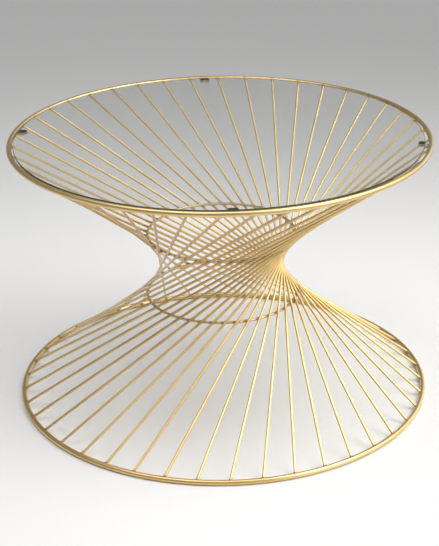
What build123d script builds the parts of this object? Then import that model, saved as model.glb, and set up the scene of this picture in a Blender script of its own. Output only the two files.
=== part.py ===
from build123d import *
import os
from math import cos, radians, sin, sqrt

# Hourglass coffee table: straight steel wires run at a slant from a ring on the floor to a ring
# at table height, so that together they draw a narrow-waisted hyperboloid. Two smaller rings
# tie the wires from inside, above and below the waist, and a loose glass disc lies in the top
# ring on four padded tabs. Millimetres, +Z up, origin on the floor under the middle.

# Driving dimensions
table_height = 520.0
top_diameter = 800.0
bottom_diameter = 810.0
ring_rod_diameter = 10.0
wire_diameter = 5.0
wire_count = 42
first_foot_angle = -88.8
twist_angle = 145.0
tie_ring_rise = 62.5
glass_diameter = 772.0
glass_thickness = 5.0
glass_edge_rounding = 1.0
glass_sink = 1.0
glass_offset = -2.0
tab_angles = (-87.0, -8.6, 94.5, 173.0)
tab_width = 20.0
tab_length = 19.0
tab_thickness = 3.0
tab_corner = 3.0
pad_width = 19.0
pad_length = 17.0
pad_thickness = 2.0
pad_setback = 1.0
pad_corner = 2.5

# Worked out from them
ring_rod_radius = ring_rod_diameter / 2
wire_radius = wire_diameter / 2
top_radius = top_diameter / 2 - ring_rod_radius
bottom_radius = bottom_diameter / 2 - ring_rod_radius
top_height = table_height - ring_rod_radius
bottom_height = ring_rod_radius
waist_height = (top_height + bottom_height) / 2
wire_step = 360 / wire_count
glass_bottom = table_height - glass_sink - glass_thickness
tab_top = glass_bottom - pad_thickness
tab_inner = top_radius - ring_rod_radius - tab_length
tab_outer = top_radius - ring_rod_radius / 2
pad_inner = tab_inner + pad_setback

os.makedirs("parts", exist_ok=True)


def ring_point(radius, angle, height):
    """A point on a ring's centre line, its angle in degrees from +X."""
    return Vector(radius * cos(radians(angle)), radius * sin(radians(angle)), height)


def wire_shell(height):
    """Radius of the shell that the wires' axes lie on, and how fast it grows with height."""
    foot = ring_point(bottom_radius, 0, bottom_height)
    run = ring_point(top_radius, twist_angle, top_height) - foot
    point = foot + run * ((height - bottom_height) / run.Z)
    radius = sqrt(point.X**2 + point.Y**2)
    growth = (point.X * run.X + point.Y * run.Y) / (radius * run.Z)
    return radius, growth


def save(part, name):
    """Label a finished piece and write it to its own file."""
    part.label = name
    export_step(part, f"parts/{name}.step")


# Top ring: a round rod bent to a circle
with BuildPart() as top_ring:
    with BuildSketch(Plane.XZ):
        with Locations((top_radius, top_height)):
            Circle(ring_rod_radius)
    revolve(axis=Axis.Z)
save(top_ring.part, "top_ring")

# Bottom ring: the same rod, a little wider, flat on the floor
with BuildPart() as bottom_ring:
    with BuildSketch(Plane.XZ):
        with Locations((bottom_radius, bottom_height)):
            Circle(ring_rod_radius)
    revolve(axis=Axis.Z)
save(bottom_ring.part, "bottom_ring")

# Wires: each butts against the inner side of both rings, its ends coped to their round rod
for number in range(wire_count):
    foot_angle = first_foot_angle + number * wire_step
    foot_point = ring_point(bottom_radius, foot_angle, bottom_height)
    head_point = ring_point(top_radius, foot_angle + twist_angle, top_height)
    wire_run = head_point - foot_point
    with BuildPart() as wire:
        with BuildSketch(Plane(origin=foot_point, z_dir=wire_run.normalized())):
            Circle(wire_radius)
        extrude(amount=wire_run.length)
        add(bottom_ring.part, mode=Mode.SUBTRACT)
        add(top_ring.part, mode=Mode.SUBTRACT)
    save(wire.part, f"wire_{number + 1:02d}")

# Tie rings: wire bent to a circle, welded inside the wires below and above the waist
for ring_name, ring_height in (
    ("lower_tie_ring", waist_height - tie_ring_rise),
    ("upper_tie_ring", waist_height + tie_ring_rise),
):
    shell_radius, shell_growth = wire_shell(ring_height)
    inset = wire_diameter * sqrt(1 + shell_growth**2)
    with BuildPart() as tie_ring:
        with BuildSketch(Plane.XZ):
            with Locations((shell_radius - inset, ring_height)):
                Circle(wire_radius)
        revolve(axis=Axis.Z)
    save(tie_ring.part, ring_name)

# Tabs: flat lugs on the inner side of the top ring, each between two wires, and a soft pad
# stuck on each for the glass to lie on
for number, tab_angle in enumerate(tab_angles):
    tab_direction = ring_point(1, tab_angle, 0)
    tab_plane = Plane(origin=(0, 0, tab_top), x_dir=tab_direction, z_dir=(0, 0, 1))

    with BuildPart() as tab:
        with BuildSketch(tab_plane) as tab_outline:
            with Locations((tab_inner, 0)):
                Rectangle(tab_outer - tab_inner, tab_width, align=(Align.MIN, Align.CENTER))
            inner_corners = tab_outline.vertices().sort_by(Axis.X)[:2]
            fillet(inner_corners, tab_corner)
        extrude(amount=-tab_thickness)
        add(top_ring.part, mode=Mode.SUBTRACT)
    save(tab.part, f"tab_{number + 1}")

    with BuildPart() as pad:
        with BuildSketch(tab_plane):
            with Locations((pad_inner + pad_length / 2, 0)):
                RectangleRounded(pad_length, pad_width, pad_corner)
        extrude(amount=pad_thickness)
    save(pad.part, f"pad_{number + 1}")

# Glass top: a flat disc with rounded edges, lying loose on the pads a little off the middle
with BuildPart() as glass_top:
    with BuildSketch(Plane.XY.offset(glass_bottom)):
        with Locations((glass_offset, 0)):
            Circle(glass_diameter / 2)
    extrude(amount=glass_thickness)
    fillet(glass_top.edges(), glass_edge_rounding)
save(glass_top.part, "glass_top")
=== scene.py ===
import random
from math import cos, pi, radians, sin, sqrt

import bmesh
import bpy
import numpy as np
from mathutils import Matrix, Vector


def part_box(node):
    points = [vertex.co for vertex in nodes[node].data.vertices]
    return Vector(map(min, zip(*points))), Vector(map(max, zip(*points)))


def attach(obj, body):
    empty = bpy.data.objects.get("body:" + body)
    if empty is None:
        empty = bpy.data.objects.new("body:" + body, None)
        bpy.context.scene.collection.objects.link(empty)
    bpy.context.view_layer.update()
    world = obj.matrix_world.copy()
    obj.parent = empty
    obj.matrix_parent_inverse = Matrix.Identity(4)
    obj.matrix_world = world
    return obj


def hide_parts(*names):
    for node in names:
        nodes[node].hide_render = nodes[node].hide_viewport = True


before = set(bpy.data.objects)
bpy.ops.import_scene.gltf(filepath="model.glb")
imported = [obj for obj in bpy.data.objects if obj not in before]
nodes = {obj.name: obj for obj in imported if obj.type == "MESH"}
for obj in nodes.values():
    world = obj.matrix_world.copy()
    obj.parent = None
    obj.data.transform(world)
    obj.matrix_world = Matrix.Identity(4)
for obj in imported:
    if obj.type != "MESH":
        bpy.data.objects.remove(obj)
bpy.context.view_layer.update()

# Sizes of the Blender-made details, in metres
wire_end_reach = 0.012
collar_bead_radius = 0.00112
collar_bead_sink = 0.15
collar_steps = 28
collar_search_depth = 0.03
collar_search_halvings = 24
bead_sides = 10
nugget_half_sizes = (0.0030, 0.0022, 0.0013)
tab_bead_radius = 0.00105
tab_bead_ripple = 0.0017
tab_bead_half_length = 0.0088
tab_bead_steps = 56
tab_bead_offset = 0.0003
tab_bead_rise = 0.0002
under_bead_rise = 0.0010
seam_half_length = 0.0024
seam_height = 0.00022
seam_steps = 12
top_seam_angle = radians(98.6)
bottom_seam_angle = radians(62.5)
tie_seam_angles = (radians(131.0), radians(74.0))
glass_segments = 256
glass_rounding = 0.0010
glass_rounding_steps = 6
glass_flat_shares = (0, 0.3, 0.6, 0.9, 0.9995)
pad_bulge = 0.00025
pad_corner = 0.0025
pad_corner_steps = 8

# Finish colours, as linear RGB
gold_light = (0.80, 0.595, 0.27)
gold_deep = (0.69, 0.465, 0.172)
gold_heat = (0.26, 0.155, 0.06)
gold_scuff = (0.60, 0.47, 0.27)
weld_light = (0.50, 0.33, 0.125)
glass_tint = (0.965, 0.985, 0.972)
# The glass edge colour is partly the green of float glass seen through its thickness and partly painted
# shade, darkened to stand in for the dark line along the edge
glass_edge_tint_and_painted_shade = (0.40, 0.42, 0.27)
rubber_grey = (0.285, 0.275, 0.29)
rubber_pale = (0.36, 0.35, 0.365)
floor_pale = (0.80, 0.80, 0.81)
room_dim = (0.27, 0.265, 0.26)
room_bright = (1.45, 1.46, 1.44)

# The camera and the room
camera_place = (-0.0044, -2.6403, 1.4016)
camera_pitch = radians(23.826)
camera_roll = radians(-0.854)
camera_lens = 97.02
floor_size = 60.0
light_spread = radians(70)

draw = random.Random(42)
wire_names = sorted(name for name in nodes if name.startswith("wire_"))
tie_ring_names = ("lower_tie_ring", "upper_tie_ring")
pad_names = sorted(name for name in nodes if name.startswith("pad_"))
tab_names = sorted(name for name in nodes if name.startswith("tab_"))


# Where things are, read from the frame

def ring_sizes(name):
    """A ring's radius at its rod's centre line, that line's height, and the rod's radius."""
    low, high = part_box(name)
    rod_radius = (high.z - low.z) / 2
    return high.x - rod_radius, (high.z + low.z) / 2, rod_radius


def wire_line(name):
    """The lower and upper ends of a wire's centre line, and the wire's radius."""
    mesh = nodes[name].data
    points = np.array([vertex.co for vertex in mesh.vertices])
    pairs = np.array([edge.vertices for edge in mesh.edges])
    spans = points[pairs[:, 1]] - points[pairs[:, 0]]
    longest = spans[np.argmax(np.linalg.norm(spans, axis=1))]
    along = Vector(longest if longest[2] > 0 else -longest).normalized()
    side = along.orthogonal().normalized()
    across = along.cross(side)
    reach = points @ np.array(along)
    ends, radius = [], 0
    for chosen in (reach < reach.min() + wire_end_reach, reach > reach.max() - wire_end_reach):
        u, v = points[chosen] @ np.array(side), points[chosen] @ np.array(across)
        middle = along * float(reach[chosen].mean())
        middle += side * float(u.max() + u.min()) / 2 + across * float(v.max() + v.min()) / 2
        ends.append(middle)
        radius = float(u.max() - u.min()) / 2
    return ends[0], ends[1], radius


wires = [wire_line(name) for name in wire_names]
wire_radius = wires[0][2]


def at_height(wire, height):
    """The point of a wire's centre line at this height."""
    low, high, _ = wire
    return low + (high - low) * ((height - low.z) / (high.z - low.z))


# Mesh code

def piece(name, body, material, shape):
    """A finished bmesh as a smooth object that rides on a body."""
    mesh = bpy.data.meshes.new(name)
    bmesh.ops.recalc_face_normals(shape, faces=shape.faces)
    shape.to_mesh(mesh)
    shape.free()
    for polygon in mesh.polygons:
        polygon.use_smooth = True
    mesh.materials.append(material)
    made = bpy.data.objects.new(name, mesh)
    bpy.context.scene.collection.objects.link(made)
    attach(made, body)
    return made


def add_tube(shape, path, radii, reference, closed):
    """A tube of round sections along a path. Its ends are capped unless it closes on itself."""
    count = len(path)
    rings = []
    for i, centre in enumerate(path):
        after = path[(i + 1) % count] if closed or i < count - 1 else centre
        before = path[i - 1] if closed or i > 0 else centre
        tangent = (after - before).normalized()
        side = tangent.cross(reference).normalized()
        up = side.cross(tangent)
        rings.append([
            shape.verts.new(centre + radii[i] * (cos(turn) * side + sin(turn) * up))
            for turn in (2 * pi * k / bead_sides for k in range(bead_sides))
        ])
    for i in range(count if closed else count - 1):
        here, there = rings[i], rings[(i + 1) % count]
        for k in range(bead_sides):
            n = (k + 1) % bead_sides
            shape.faces.new((here[k], here[n], there[n], there[k]))
    if not closed:
        shape.faces.new(rings[0])
        shape.faces.new(rings[-1])


def lumps(amount):
    """A smooth uneven factor round a weld, different for each one."""
    waves = [(k, amount * draw.uniform(0.4, 1) / sqrt(k), draw.uniform(0, 2 * pi)) for k in (1, 2, 3, 5)]
    return lambda turn: 1 + sum(size * cos(k * turn + start) for k, size, start in waves)


def add_collar(shape, wire, ring, toward_top):
    """The fillet weld round a wire's end, along the line where the wire meets a ring's rod."""
    ring_radius, ring_height, rod_radius = ring
    low, high, _ = wire
    along = (high - low).normalized() * (1 if toward_top else -1)
    heart = at_height(wire, ring_height)
    side = along.orthogonal().normalized()
    across = along.cross(side)
    uneven = lumps(0.13)
    path, radii = [], []
    for step in range(collar_steps):
        turn = 2 * pi * step / collar_steps
        outward = cos(turn) * side + sin(turn) * across
        start = heart + outward * wire_radius
        near, far = -collar_search_depth, 0.0
        for _ in range(collar_search_halvings):
            middle = (near + far) / 2
            point = start + along * middle
            gap = sqrt((sqrt(point.x**2 + point.y**2) - ring_radius) ** 2 + (point.z - ring_height) ** 2)
            near, far = (middle, far) if gap > rod_radius else (near, middle)
        path.append(start + along * (near - collar_bead_sink * collar_bead_radius))
        radii.append(collar_bead_radius * uneven(turn))
    add_tube(shape, path, radii, along, True)


def add_nugget(shape, wire, ring):
    """The spot weld between a wire and a tie ring, spread along the sharp angle between them."""
    ring_radius, ring_height, rod_radius = ring
    low, high, _ = wire
    crossing = at_height(wire, ring_height)
    outward = Vector((crossing.x, crossing.y, 0)).normalized()
    ring_point = outward * ring_radius + Vector((0, 0, ring_height))
    along = (high - low).normalized()
    tangent = Vector((-outward.y, outward.x, 0))
    if along.dot(tangent) < 0:
        tangent = -tangent
    normal = along.cross(tangent).normalized()
    if normal.dot(crossing - ring_point) < 0:
        normal = -normal
    contact = ring_point + normal * rod_radius
    longways = (along + tangent).normalized()
    turned = Matrix((longways, normal.cross(longways), normal)).transposed()
    made = bmesh.ops.create_icosphere(shape, subdivisions=3, radius=1)["verts"]
    uneven = lumps(0.10)
    for vertex in made:
        direction = vertex.co.normalized()
        swell = uneven(np.arctan2(direction.y, direction.x))
        swell *= 1 + 0.05 * sin(9 * direction.x + 4 * direction.z)
        stretched = Vector(a * b * swell for a, b in zip(direction, nugget_half_sizes))
        vertex.co = contact + turned @ stretched


def add_tab_bead(shape, tab, radius_from_axis, height):
    """A rippled fillet weld along a tab's joint with the top ring."""
    low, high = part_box(tab)
    middle = (low + high) / 2
    centre_angle = np.arctan2(middle.y, middle.x)
    half_angle = tab_bead_half_length / radius_from_axis
    uneven = lumps(0.06)
    path, radii = [], []
    for step in range(tab_bead_steps + 1):
        share = step / tab_bead_steps
        angle = centre_angle + half_angle * (2 * share - 1)
        run = share * 2 * half_angle * radius_from_axis
        taper = min(1, 5 * share + 0.25, 5 * (1 - share) + 0.25)
        ripple = 1 + 0.10 * abs(sin(pi * run / tab_bead_ripple))
        path.append(Vector((radius_from_axis * cos(angle), radius_from_axis * sin(angle), height)))
        radii.append(tab_bead_radius * taper * ripple * uneven(2 * pi * share))
    add_tube(shape, path, radii, Vector((0, 0, 1)), False)


def add_seam(shape, ring, angle, lift):
    """The dressed butt weld where a ring's rod was closed, a little proud on its inner side.
    Lift moves it up or down by that many seam heights."""
    ring_radius, ring_height, rod_radius = ring
    path, radii = [], []
    for step in range(seam_steps + 1):
        share = 2 * step / seam_steps - 1
        turn = angle + share * seam_half_length / ring_radius
        radius = ring_radius - seam_height
        path.append(Vector((radius * cos(turn), radius * sin(turn), ring_height + lift * seam_height)))
        radii.append(rod_radius - seam_height + 2 * seam_height * (1 - share**4))
    add_tube(shape, path, radii, Vector((0, 0, 1)), False)


# Material code

def coordinates(tree):
    """The piece's own coordinates, which are the row frame's, in metres."""
    return tree.nodes.new("ShaderNodeTexCoord").outputs["Object"]


def noise(tree, vector, scale, detail=3.0, roughness=0.5, distortion=0.0):
    made = tree.nodes.new("ShaderNodeTexNoise")
    made.inputs["Scale"].default_value = scale
    made.inputs["Detail"].default_value = detail
    made.inputs["Roughness"].default_value = roughness
    made.inputs["Distortion"].default_value = distortion
    tree.links.new(vector, made.inputs["Vector"])
    return made.outputs["Fac"]


def spread(tree, value, low, high, to_low=0.0, to_high=1.0):
    """A value's stretch from low to high, eased to run from to_low to to_high."""
    made = tree.nodes.new("ShaderNodeMapRange")
    made.interpolation_type = "SMOOTHSTEP"
    tree.links.new(value, made.inputs["Value"])
    made.inputs["From Min"].default_value = low
    made.inputs["From Max"].default_value = high
    made.inputs["To Min"].default_value = to_low
    made.inputs["To Max"].default_value = to_high
    return made.outputs["Result"]


def maths(tree, operation, *values):
    made = tree.nodes.new("ShaderNodeMath")
    made.operation = operation
    for socket, value in zip(made.inputs, values):
        if isinstance(value, (int, float)):
            socket.default_value = value
        else:
            tree.links.new(value, socket)
    return made.outputs[0]


def blended(tree, share, first, second):
    """Two colours mixed by a share. Each is a tuple or a socket."""
    made = tree.nodes.new("ShaderNodeMix")
    made.data_type = "RGBA"
    tree.links.new(share, made.inputs["Factor"])
    for socket, colour in ((made.inputs[6], first), (made.inputs[7], second)):
        if isinstance(colour, tuple):
            socket.default_value = (*colour, 1)
        else:
            tree.links.new(colour, socket)
    return made.outputs[2]


def bumped(tree, shader, height, strength, distance):
    made = tree.nodes.new("ShaderNodeBump")
    made.inputs["Strength"].default_value = strength
    made.inputs["Distance"].default_value = distance
    tree.links.new(height, made.inputs["Height"])
    tree.links.new(made.outputs["Normal"], shader.inputs["Normal"])


def started(name):
    """A new material, its node tree and its Principled shader."""
    made = bpy.data.materials.new(name)
    made.use_nodes = True
    return made, made.node_tree, made.node_tree.nodes["Principled BSDF"]


def near_heights(tree, place, heights, reach):
    """1 at any of these heights, fading to 0 at reach away from it."""
    height = tree.nodes.new("ShaderNodeSeparateXYZ")
    tree.links.new(place, height.inputs[0])
    nearest = None
    for level in heights:
        gap = maths(tree, "ABSOLUTE", maths(tree, "SUBTRACT", height.outputs["Z"], level))
        nearest = gap if nearest is None else maths(tree, "MINIMUM", nearest, gap)
    return spread(tree, nearest, 0.25 * reach, reach, 1.0, 0.0)


def near_angles(tree, place, first_angle, radius, reach, side, onset):
    """1 where a wire meets a ring, fading to 0 at reach along the ring. Side is 1 for wires that
    meet its outer side and -1 for wires that meet its inner side, and the mask sets in at onset
    beyond the rod's middle on that side."""
    parts = tree.nodes.new("ShaderNodeSeparateXYZ")
    tree.links.new(place, parts.inputs[0])
    count = len(wire_names)
    angle = maths(tree, "ARCTAN2", parts.outputs["Y"], parts.outputs["X"])
    turns = maths(tree, "MULTIPLY", maths(tree, "SUBTRACT", angle, first_angle), count / (2 * pi))
    off = maths(tree, "ABSOLUTE", maths(tree, "SUBTRACT", turns, maths(tree, "ROUND", turns)))
    gap = maths(tree, "MULTIPLY", off, 2 * pi * radius / count)
    along = spread(tree, gap, 0.25 * reach, reach, 1.0, 0.0)
    across = maths(tree, "POWER", maths(tree, "ADD", *(
        maths(tree, "POWER", parts.outputs[axis], 2) for axis in ("X", "Y")
    )), 0.5)
    outward = maths(tree, "MULTIPLY", maths(tree, "SUBTRACT", across, radius), side)
    return maths(tree, "MULTIPLY", along, spread(tree, outward, onset, onset + 0.003, 0.0, 1.0))


def gold_finish(name, heat=None, heat_share=0.5):
    """Champagne-gold plated steel under clear lacquer, browned where welding heated it.
    heat is a function that makes the mask of those places, or None."""
    material, tree, shader = started(name)
    place = coordinates(tree)
    tone = spread(tree, noise(tree, place, scale=7.0, detail=4.0), 0.32, 0.68)
    colour = blended(tree, tone, gold_deep, gold_light)
    fine = noise(tree, place, scale=650.0, detail=2.0)
    patches = noise(tree, place, scale=38.0, detail=5.0, roughness=0.62, distortion=0.4)
    scuffed = spread(tree, patches, 0.60, 0.74, 0.0, 0.55)
    colour = blended(tree, scuffed, colour, gold_scuff)
    rough = spread(tree, patches, 0.35, 0.75, to_low=0.30, to_high=0.42)
    if heat is not None:
        wobble = spread(tree, noise(tree, place, scale=160.0, detail=2.0), 0.25, 0.75, 0.45, 1.0)
        browned = maths(tree, "MULTIPLY", maths(tree, "MULTIPLY", heat(tree, place), wobble), heat_share)
        colour = blended(tree, browned, colour, gold_heat)
        rough = maths(tree, "ADD", rough, maths(tree, "MULTIPLY", browned, 0.18))
    tree.links.new(colour, shader.inputs["Base Color"])
    tree.links.new(rough, shader.inputs["Roughness"])
    shader.inputs["Metallic"].default_value = 1.0
    shader.inputs["Coat Weight"].default_value = 0.8
    shader.inputs["Coat Roughness"].default_value = 0.12
    bumped(tree, shader, fine, strength=0.10, distance=0.00004)
    return material


def weld_finish():
    """The same plating over weld metal, browner, duller and rippled."""
    material, tree, shader = started("gold_weld")
    place = coordinates(tree)
    blotches = spread(tree, noise(tree, place, scale=240.0, roughness=0.6), 0.3, 0.7)
    colour = blended(tree, blotches, gold_heat, weld_light)
    ripples = noise(tree, place, scale=900.0, detail=4.0, roughness=0.6)
    tree.links.new(colour, shader.inputs["Base Color"])
    tree.links.new(spread(tree, blotches, 0.0, 1.0, 0.48, 0.34), shader.inputs["Roughness"])
    shader.inputs["Metallic"].default_value = 1.0
    shader.inputs["Coat Weight"].default_value = 0.25
    shader.inputs["Coat Roughness"].default_value = 0.2
    bumped(tree, shader, ripples, strength=0.35, distance=0.0003)
    return material


def glass_finish(name, tint, low_rough, high_rough, clearness):
    """Float glass with faint smears in its polish."""
    material, tree, shader = started(name)
    place = coordinates(tree)
    smears = noise(tree, place, scale=11.0, detail=5.0, roughness=0.65, distortion=1.2)
    tree.links.new(spread(tree, smears, 0.45, 0.72, low_rough, high_rough), shader.inputs["Roughness"])
    shade = blended(tree, spread(tree, smears, 0.3, 0.7), tint, tuple(0.985 * part for part in tint))
    tree.links.new(shade, shader.inputs["Base Color"])
    shader.inputs["IOR"].default_value = 1.52
    shader.inputs["Transmission Weight"].default_value = clearness
    return material


def rubber_finish():
    """Soft grey bumper rubber, a little paler where it has rubbed."""
    material, tree, shader = started("rubber")
    place = coordinates(tree)
    cloudy = noise(tree, place, scale=160.0, detail=4.0, roughness=0.6)
    grain = noise(tree, place, scale=2600.0, detail=2.0)
    colour = blended(tree, spread(tree, cloudy, 0.35, 0.7), rubber_grey, rubber_pale)
    tree.links.new(colour, shader.inputs["Base Color"])
    tree.links.new(spread(tree, cloudy, 0.3, 0.7, 0.42, 0.60), shader.inputs["Roughness"])
    bumped(tree, shader, grain, strength=0.3, distance=0.0001)
    return material


def floor_finish():
    material, tree, shader = started("floor")
    place = coordinates(tree)
    soft = spread(tree, noise(tree, place, scale=0.8, detail=2.0), 0.3, 0.7)
    colour = blended(tree, soft, floor_pale, tuple(0.985 * part for part in floor_pale))
    tree.links.new(colour, shader.inputs["Base Color"])
    shader.inputs["Roughness"].default_value = 0.75
    return material


# The frame: the CAD rods keep their shape and take the plated finish

def paint(name, material):
    """Gives a CAD node this material through its object's own slots."""
    for slot in nodes[name].material_slots:
        slot.link = "OBJECT"
        slot.material = material


top_ring = ring_sizes("top_ring")
bottom_ring = ring_sizes("bottom_ring")
tie_rings = [ring_sizes(name) for name in tie_ring_names]
weld_heights = [bottom_ring[1], top_ring[1], *(ring[1] for ring in tie_rings)]

wire_gold = gold_finish("gold_wire", lambda tree, place: near_heights(tree, place, weld_heights, 0.010))
for name in wire_names:
    paint(name, wire_gold)

for name, ring, side, onset, reach, share in (
    ("top_ring", top_ring, -1, 0.0, 0.006, 0.5),
    ("bottom_ring", bottom_ring, -1, 0.0, 0.006, 0.5),
    *((name, ring, 1, -0.003, 0.010, 0.9) for name, ring in zip(tie_ring_names, tie_rings)),
):
    joint = at_height(wires[0], ring[1])
    first_angle = float(np.arctan2(joint.y, joint.x))
    radius = ring[0]
    place_of_heat = (first_angle, radius, reach, side, onset)
    paint(name, gold_finish(
        "gold_" + name,
        lambda tree, place, where=place_of_heat: near_angles(tree, place, *where),
        share,
    ))

tab_gold = gold_finish("gold_tab")
for name in tab_names:
    paint(name, tab_gold)

# Welds
weld_gold = weld_finish()

for name, ring, at_top in (("top_weld_beads", top_ring, True), ("bottom_weld_beads", bottom_ring, False)):
    shape = bmesh.new()
    for wire in wires:
        add_collar(shape, wire, ring, at_top)
    piece(name, "frame", weld_gold, shape)

for name, ring in zip(("lower_tie_weld_beads", "upper_tie_weld_beads"), tie_rings):
    shape = bmesh.new()
    for wire in wires:
        add_nugget(shape, wire, ring)
    piece(name, "frame", weld_gold, shape)

tab_low, tab_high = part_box(tab_names[0])
shape = bmesh.new()
for name in tab_names:
    above = tab_high.z - top_ring[1]
    inner = top_ring[0] - sqrt(top_ring[2] ** 2 - above**2)
    under = top_ring[0] - top_ring[2] / 2
    add_tab_bead(shape, name, inner - tab_bead_offset, tab_high.z + tab_bead_rise)
    add_tab_bead(shape, name, under + tab_bead_offset, tab_low.z + under_bead_rise)
piece("tab_weld_beads", "frame", weld_gold, shape)

shape = bmesh.new()
add_seam(shape, top_ring, top_seam_angle, -1)
add_seam(shape, bottom_ring, bottom_seam_angle, 1)
for ring, angle in zip(tie_rings, tie_seam_angles):
    add_seam(shape, ring, angle, 0)
piece("ring_seams", "frame", tab_gold, shape)


# The glass top, a polished disc with rounded edges

def glass_disc(clear, edge):
    low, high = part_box("glass_top")
    centre = (low + high) / 2
    radius = (high.y - low.y) / 2
    flat = [share * (radius - glass_rounding) for share in glass_flat_shares]
    profile = [Vector((reach, 0, high.z)) for reach in flat]
    for middle_height, first in ((high.z - glass_rounding, pi / 2), (low.z + glass_rounding, 0)):
        for step in range(glass_rounding_steps + 1):
            turn = first - step * pi / 2 / glass_rounding_steps
            profile.append(Vector((
                radius - glass_rounding + glass_rounding * cos(turn),
                0,
                middle_height + glass_rounding * sin(turn),
            )))
    profile += [Vector((reach, 0, low.z)) for reach in reversed(flat)]
    shape = bmesh.new()
    line = [shape.verts.new(point) for point in profile]
    edges = [shape.edges.new(pair) for pair in zip(line, line[1:])]
    bmesh.ops.spin(
        shape, geom=line + edges, cent=(0, 0, 0), axis=(0, 0, 1),
        dvec=(0, 0, 0), angle=2 * pi, steps=glass_segments, use_duplicate=False,
    )
    bmesh.ops.remove_doubles(shape, verts=shape.verts, dist=1e-6)
    bmesh.ops.translate(shape, verts=shape.verts, vec=(centre.x, centre.y, 0))
    disc = piece("glass_disc", "glass", clear, shape)
    disc.data.materials.append(edge)
    for polygon in disc.data.polygons:
        flat_face = abs(polygon.normal.z) > 0.9999
        polygon.use_smooth = not flat_face
        polygon.material_index = 0 if flat_face else 1
    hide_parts("glass_top")
    return disc


# The rounded edge faces get a darker green-brown colour and less clearness: partly the glass's own green,
# partly painted shade for the dark line along the edge
glass_disc(
    glass_finish("glass_clear", glass_tint, 0.0, 0.03, 1.0),
    glass_finish("glass_edge", glass_edge_tint_and_painted_shade, 0.05, 0.16, 0.8),
)


# The pads, soft bumpers squeezed a little under the glass

def soft_pad(name, material):
    """A pad as stacked outlines of its CAD node's footprint. Each level is a share of the thickness
    and how far the outline swells or shrinks there."""
    low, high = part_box(name)
    middle = (low + high) / 2
    outward = Vector((middle.x, middle.y, 0)).normalized()
    sideways = Vector((-outward.y, outward.x, 0))
    points = np.array([vertex.co for vertex in nodes[name].data.vertices])
    along = points @ np.array(outward)
    across = points @ np.array(sideways)
    centre = outward * float(along.max() + along.min()) / 2
    centre += sideways * float(across.max() + across.min()) / 2
    half_length = float(along.max() - along.min()) / 2
    half_width = float(across.max() - across.min()) / 2
    thickness = high.z - low.z
    levels = [(0.0, -0.0004), (0.10, -0.0002), (0.12, 0.0), (0.35, pad_bulge), (0.6, pad_bulge), (0.8, 0.0)]
    levels += [(0.92, -0.0002), (1.0, -0.0007)]
    shape = bmesh.new()
    rings = []
    for share, grow in levels:
        ring = []
        for quarter, (sx, sy) in enumerate(((1, 1), (-1, 1), (-1, -1), (1, -1))):
            for step in range(pad_corner_steps + 1):
                turn = pi / 2 * (quarter + step / pad_corner_steps)
                x = sx * (half_length - pad_bulge - pad_corner) + (pad_corner + grow) * cos(turn)
                y = sy * (half_width - pad_bulge - pad_corner) + (pad_corner + grow) * sin(turn)
                spot = centre + outward * x + sideways * y
                ring.append(shape.verts.new((spot.x, spot.y, low.z + share * thickness)))
        rings.append(ring)
    for here, there in zip(rings, rings[1:]):
        for k in range(len(here)):
            n = (k + 1) % len(here)
            shape.faces.new((here[k], here[n], there[n], there[k]))
    shape.faces.new(rings[0])
    shape.faces.new(rings[-1])
    pad = piece("soft_" + name, "frame", material, shape)
    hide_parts(name)


rubber = rubber_finish()
for name in pad_names:
    soft_pad(name, rubber)


# Floor, light and camera

def floor():
    shape = bmesh.new()
    bmesh.ops.create_grid(shape, x_segments=8, y_segments=8, size=floor_size / 2)
    mesh = bpy.data.meshes.new("floor")
    shape.to_mesh(mesh)
    shape.free()
    mesh.materials.append(floor_finish())
    made = bpy.data.objects.new("floor", mesh)
    bpy.context.scene.collection.objects.link(made)


def soft_light(name, place, target, size, power, colour):
    light = bpy.data.lights.new(name, "AREA")
    light.shape = "SQUARE"
    light.size = size
    light.energy = power
    light.color = colour
    light.spread = light_spread
    made = bpy.data.objects.new(name, light)
    made.location = place
    made.rotation_mode = "QUATERNION"
    made.rotation_quaternion = (Vector(target) - Vector(place)).to_track_quat("-Z", "Y")
    bpy.context.scene.collection.objects.link(made)


def camera():
    lens = bpy.data.cameras.new("camera")
    lens.lens = camera_lens
    lens.sensor_width = 36.0
    forward = Vector((0, cos(camera_pitch), -sin(camera_pitch)))
    right = Vector((1, 0, 0))
    up = right.cross(forward)
    level_x = right * cos(camera_roll) + up * sin(camera_roll)
    level_y = up * cos(camera_roll) - right * sin(camera_roll)
    made = bpy.data.objects.new("camera", lens)
    made.matrix_world = (
        Matrix.Translation(camera_place) @ Matrix((level_x, level_y, -forward)).transposed().to_4x4()
    )
    bpy.context.scene.collection.objects.link(made)
    bpy.context.scene.camera = made


def room_light():
    """Even light from all round, dim on one side and bright on the other."""
    world = bpy.data.worlds.new("room")
    world.use_nodes = True
    tree = world.node_tree
    direction = tree.nodes.new("ShaderNodeSeparateXYZ")
    tree.links.new(tree.nodes.new("ShaderNodeTexCoord").outputs["Generated"], direction.inputs[0])
    side = spread(tree, direction.outputs["X"], 0.1, 0.9)
    colour = blended(tree, side, room_dim, room_bright)
    tree.links.new(colour, tree.nodes["Background"].inputs["Color"])
    bpy.context.scene.world = world


floor()
room_light()
soft_light(
    "key", place=(1.8, -0.4, 2.1), target=(0.5, -0.15, 0.0),
    size=2.6, power=15.5, colour=(1.0, 0.985, 0.95),
)
soft_light(
    "overhead", place=(-0.9, -0.5, 2.4), target=(-0.5, -0.25, 0.0),
    size=2.4, power=7.5, colour=(1.0, 1.0, 1.0),
)
camera()
bpy.context.scene.view_settings.view_transform = "Standard"
